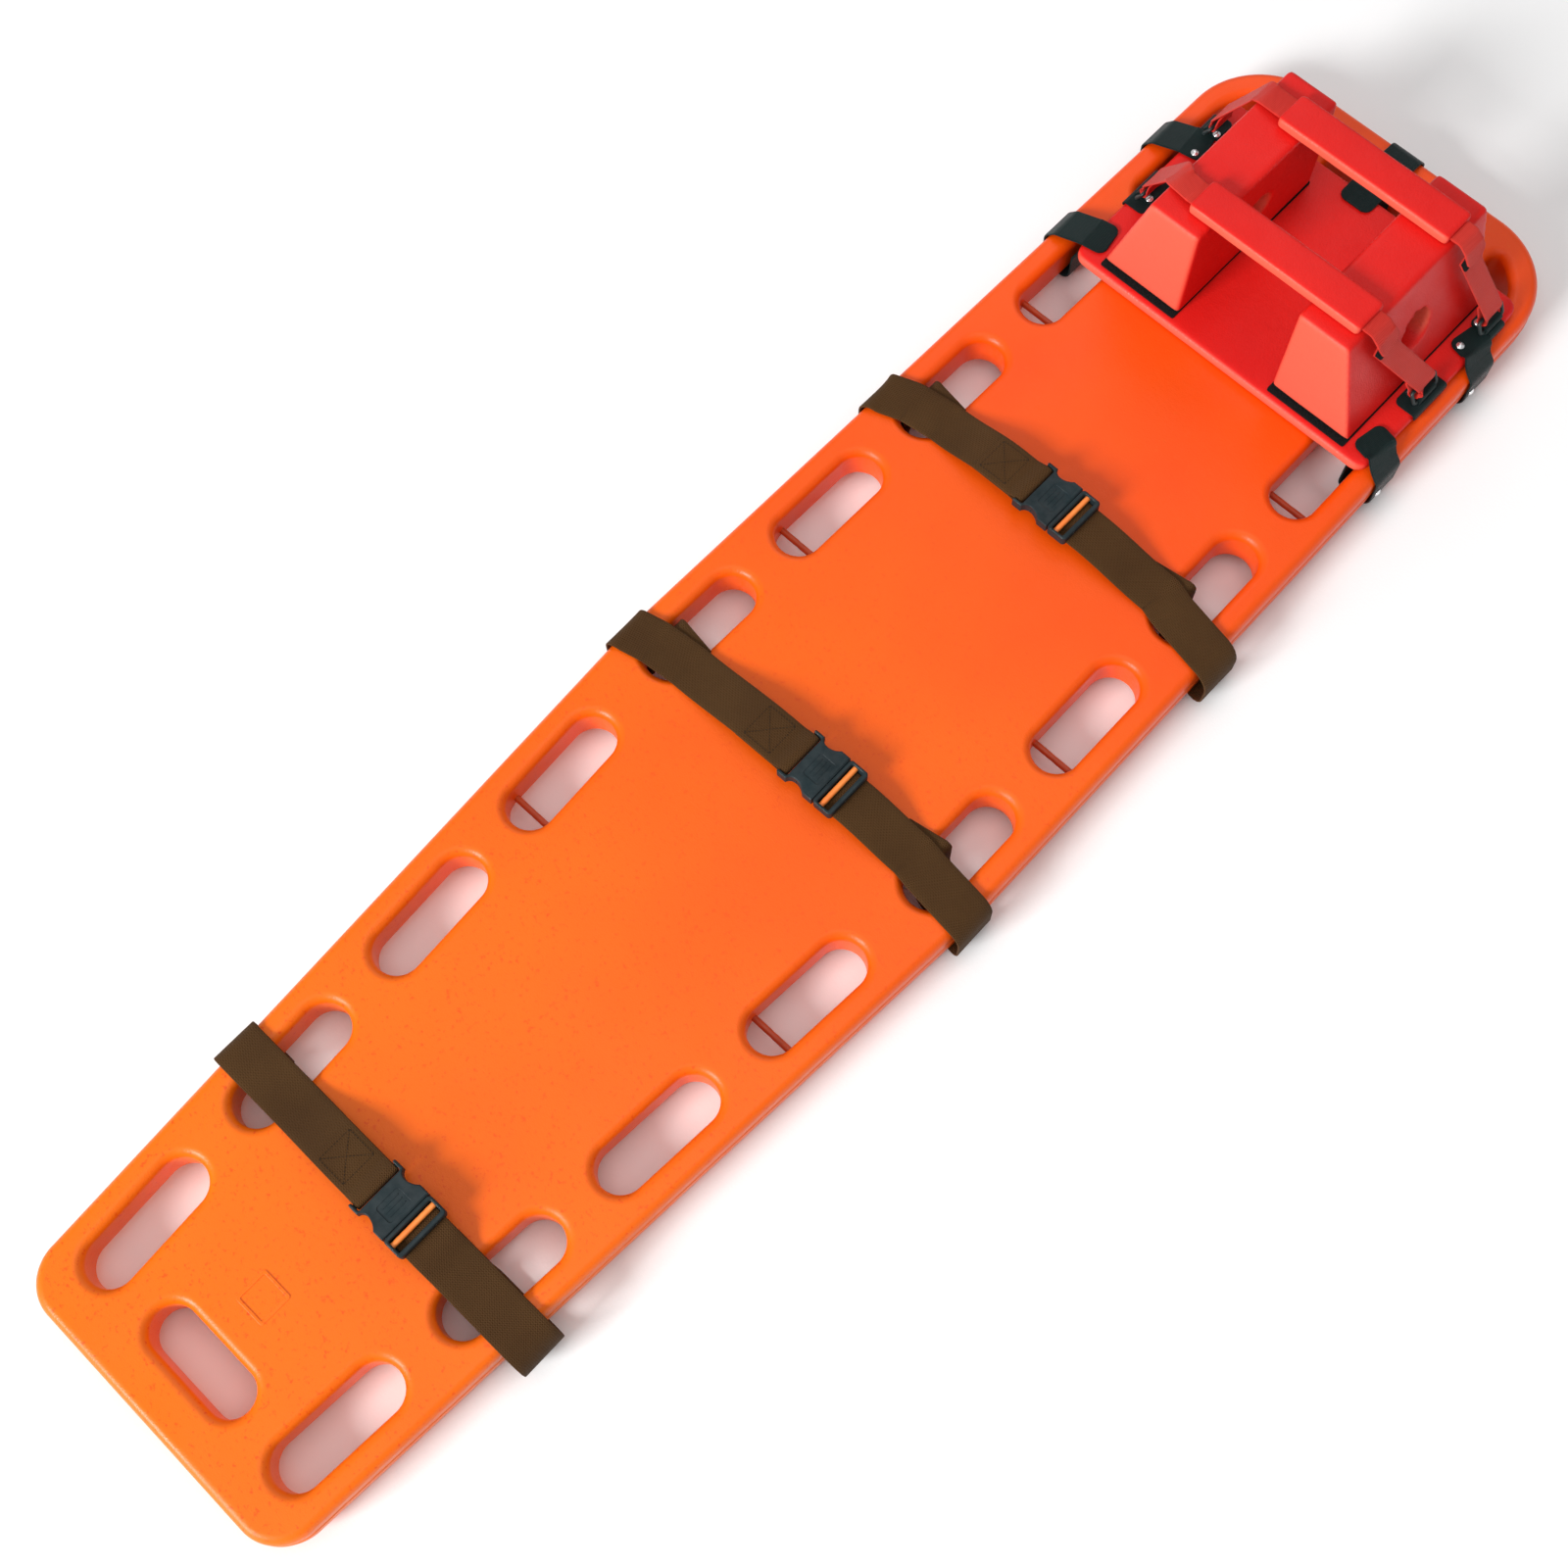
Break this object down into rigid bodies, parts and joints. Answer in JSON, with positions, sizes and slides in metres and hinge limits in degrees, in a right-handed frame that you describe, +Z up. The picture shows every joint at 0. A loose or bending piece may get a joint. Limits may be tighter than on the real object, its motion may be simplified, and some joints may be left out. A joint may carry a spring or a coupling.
{
  "type": "spine board",
  "caption": "Long plastic rescue board with rail handholds, buckled webbing belts and a foam head immobilizer strapped to its head end.",
  "frame": {"origin": "middle of the object's footprint on the surface that it lies on", "axes": "+Z up from the runners to the lying surface, +Y from the foot end to the head end, +X to the right for someone at the foot end who looks to the head end"},
  "size_m": [0.4758, 1.8346, 0.2212],
  "materials": {
    "shell": "rotomoulded polyethylene, satin, very fine texture",
    "pin": "smooth moulded",
    "webbing": "woven polypropylene",
    "buckle": "moulded acetal, satin gloss",
    "lock_bar": "moulded, satin",
    "vinyl": "vinyl-coated closed-cell foam",
    "red_strap": "coated woven tape",
    "black_webbing": "woven tape and hook material",
    "ring": "moulded nylon"
  },
  "bodies": {
    "board": {"board_shell": "shell", "strap_pin_4_left": "pin", "strap_pin_4_right": "pin", "strap_pin_6_left": "pin", "strap_pin_6_right": "pin", "strap_pin_8_left": "pin", "strap_pin_8_right": "pin", "base_pad": "vinyl", "board_strap_front_left": "black_webbing", "board_strap_front_right": "black_webbing", "board_strap_rear_left": "black_webbing", "board_strap_rear_right": "black_webbing", "board_strap_head_end": "black_webbing", "hook_strip_left": "black_webbing", "hook_strip_right": "black_webbing", "chin_ring_left": "ring", "chin_ring_right": "ring", "forehead_ring_left": "ring", "forehead_ring_right": "ring", "chin_ring_tab_left": "black_webbing", "chin_ring_tab_right": "black_webbing", "forehead_ring_tab_left": "black_webbing", "forehead_ring_tab_right": "black_webbing", "chin_tail_right": "red_strap", "forehead_tail_right": "red_strap"},
    "belt_1": {"belt_1_webbing_left": "webbing", "belt_1_buckle_female": "buckle"},
    "belt_1_free_half": {"belt_1_webbing_right": "webbing", "belt_1_buckle_male": "buckle", "belt_1_lock_bar": "lock_bar"},
    "belt_1_arm_head_side": {"belt_1_latch_arm_head_side": "buckle"},
    "belt_1_arm_foot_side": {"belt_1_latch_arm_foot_side": "buckle"},
    "belt_2": {"belt_2_webbing_left": "webbing", "belt_2_buckle_female": "buckle"},
    "belt_2_free_half": {"belt_2_webbing_right": "webbing", "belt_2_buckle_male": "buckle", "belt_2_lock_bar": "lock_bar"},
    "belt_2_arm_head_side": {"belt_2_latch_arm_head_side": "buckle"},
    "belt_2_arm_foot_side": {"belt_2_latch_arm_foot_side": "buckle"},
    "belt_3": {"belt_3_webbing_left": "webbing", "belt_3_buckle_female": "buckle"},
    "belt_3_free_half": {"belt_3_webbing_right": "webbing", "belt_3_buckle_male": "buckle", "belt_3_lock_bar": "lock_bar"},
    "belt_3_arm_head_side": {"belt_3_latch_arm_head_side": "buckle"},
    "belt_3_arm_foot_side": {"belt_3_latch_arm_foot_side": "buckle"},
    "block_left": {"head_block_left": "vinyl"},
    "block_right": {"head_block_right": "vinyl"},
    "chin_strap": {"chin_pad": "vinyl", "chin_strap_left": "red_strap", "chin_strap_right": "red_strap"},
    "forehead_strap": {"forehead_pad": "vinyl", "forehead_strap_left": "red_strap", "forehead_strap_right": "red_strap"}
  },
  "joints": [
    {"name": "belt_1_slide", "type": "slide", "parent": "board", "child": "belt_1", "axis": [0, 1, 0], "range_m": [-0.015, 0.03]},
    {"name": "belt_1_release", "type": "slide", "parent": "belt_1", "child": "belt_1_free_half", "axis": [1, 0, 0], "range_m": [0, 0.026]},
    {"name": "belt_1_arm_head_side_press", "type": "hinge", "parent": "belt_1_free_half", "child": "belt_1_arm_head_side", "pos_m": [0.0397, -0.61687, 0.078], "axis": [0, 0, 1], "range_deg": [0, 8], "stiffness_Nm_per_rad": 0.02},
    {"name": "belt_1_arm_foot_side_press", "type": "hinge", "parent": "belt_1_free_half", "child": "belt_1_arm_foot_side", "pos_m": [0.0397, -0.64987, 0.078], "axis": [0, 0, -1], "range_deg": [0, 8], "stiffness_Nm_per_rad": 0.02},
    {"name": "belt_2_slide", "type": "slide", "parent": "board", "child": "belt_2", "axis": [0, 1, 0], "range_m": [0, 0.03]},
    {"name": "belt_2_release", "type": "slide", "parent": "belt_2", "child": "belt_2_free_half", "axis": [0.9998, 0.0175, 0], "range_m": [0, 0.026]},
    {"name": "belt_2_arm_head_side_press", "type": "hinge", "parent": "belt_2_free_half", "child": "belt_2_arm_head_side", "pos_m": [0.03341, -0.04792, 0.078], "axis": [0, 0, 1], "range_deg": [0, 8], "stiffness_Nm_per_rad": 0.02},
    {"name": "belt_2_arm_foot_side_press", "type": "hinge", "parent": "belt_2_free_half", "child": "belt_2_arm_foot_side", "pos_m": [0.03398, -0.08091, 0.078], "axis": [0, 0, -1], "range_deg": [0, 8], "stiffness_Nm_per_rad": 0.02},
    {"name": "belt_3_slide", "type": "slide", "parent": "board", "child": "belt_3", "axis": [0, 1, 0], "range_m": [0, 0.03]},
    {"name": "belt_3_release", "type": "slide", "parent": "belt_3", "child": "belt_3_free_half", "axis": [1, 0, 0], "range_m": [0, 0.026]},
    {"name": "belt_3_arm_head_side_press", "type": "hinge", "parent": "belt_3_free_half", "child": "belt_3_arm_head_side", "pos_m": [0.0067, 0.32927, 0.078], "axis": [0, 0, 1], "range_deg": [0, 8], "stiffness_Nm_per_rad": 0.02},
    {"name": "belt_3_arm_foot_side_press", "type": "hinge", "parent": "belt_3_free_half", "child": "belt_3_arm_foot_side", "pos_m": [0.0067, 0.29627, 0.078], "axis": [0, 0, -1], "range_deg": [0, 8], "stiffness_Nm_per_rad": 0.02},
    {"name": "block_left_slide", "type": "slide", "parent": "board", "child": "block_left", "axis": [1, 0, 0], "range_m": [0, 0.03]},
    {"name": "block_right_slide", "type": "slide", "parent": "board", "child": "block_right", "axis": [-1, 0, 0], "range_m": [0, 0.03]},
    {"name": "chin_strap_lift", "type": "hinge", "parent": "board", "child": "chin_strap", "pos_m": [-0.17276, 0.6687, 0.09334], "axis": [0, -1, 0], "range_deg": [0, 110]},
    {"name": "forehead_strap_lift", "type": "hinge", "parent": "board", "child": "forehead_strap", "pos_m": [-0.17276, 0.7827, 0.09334], "axis": [0, -1, 0], "range_deg": [0, 110]}
  ]
}
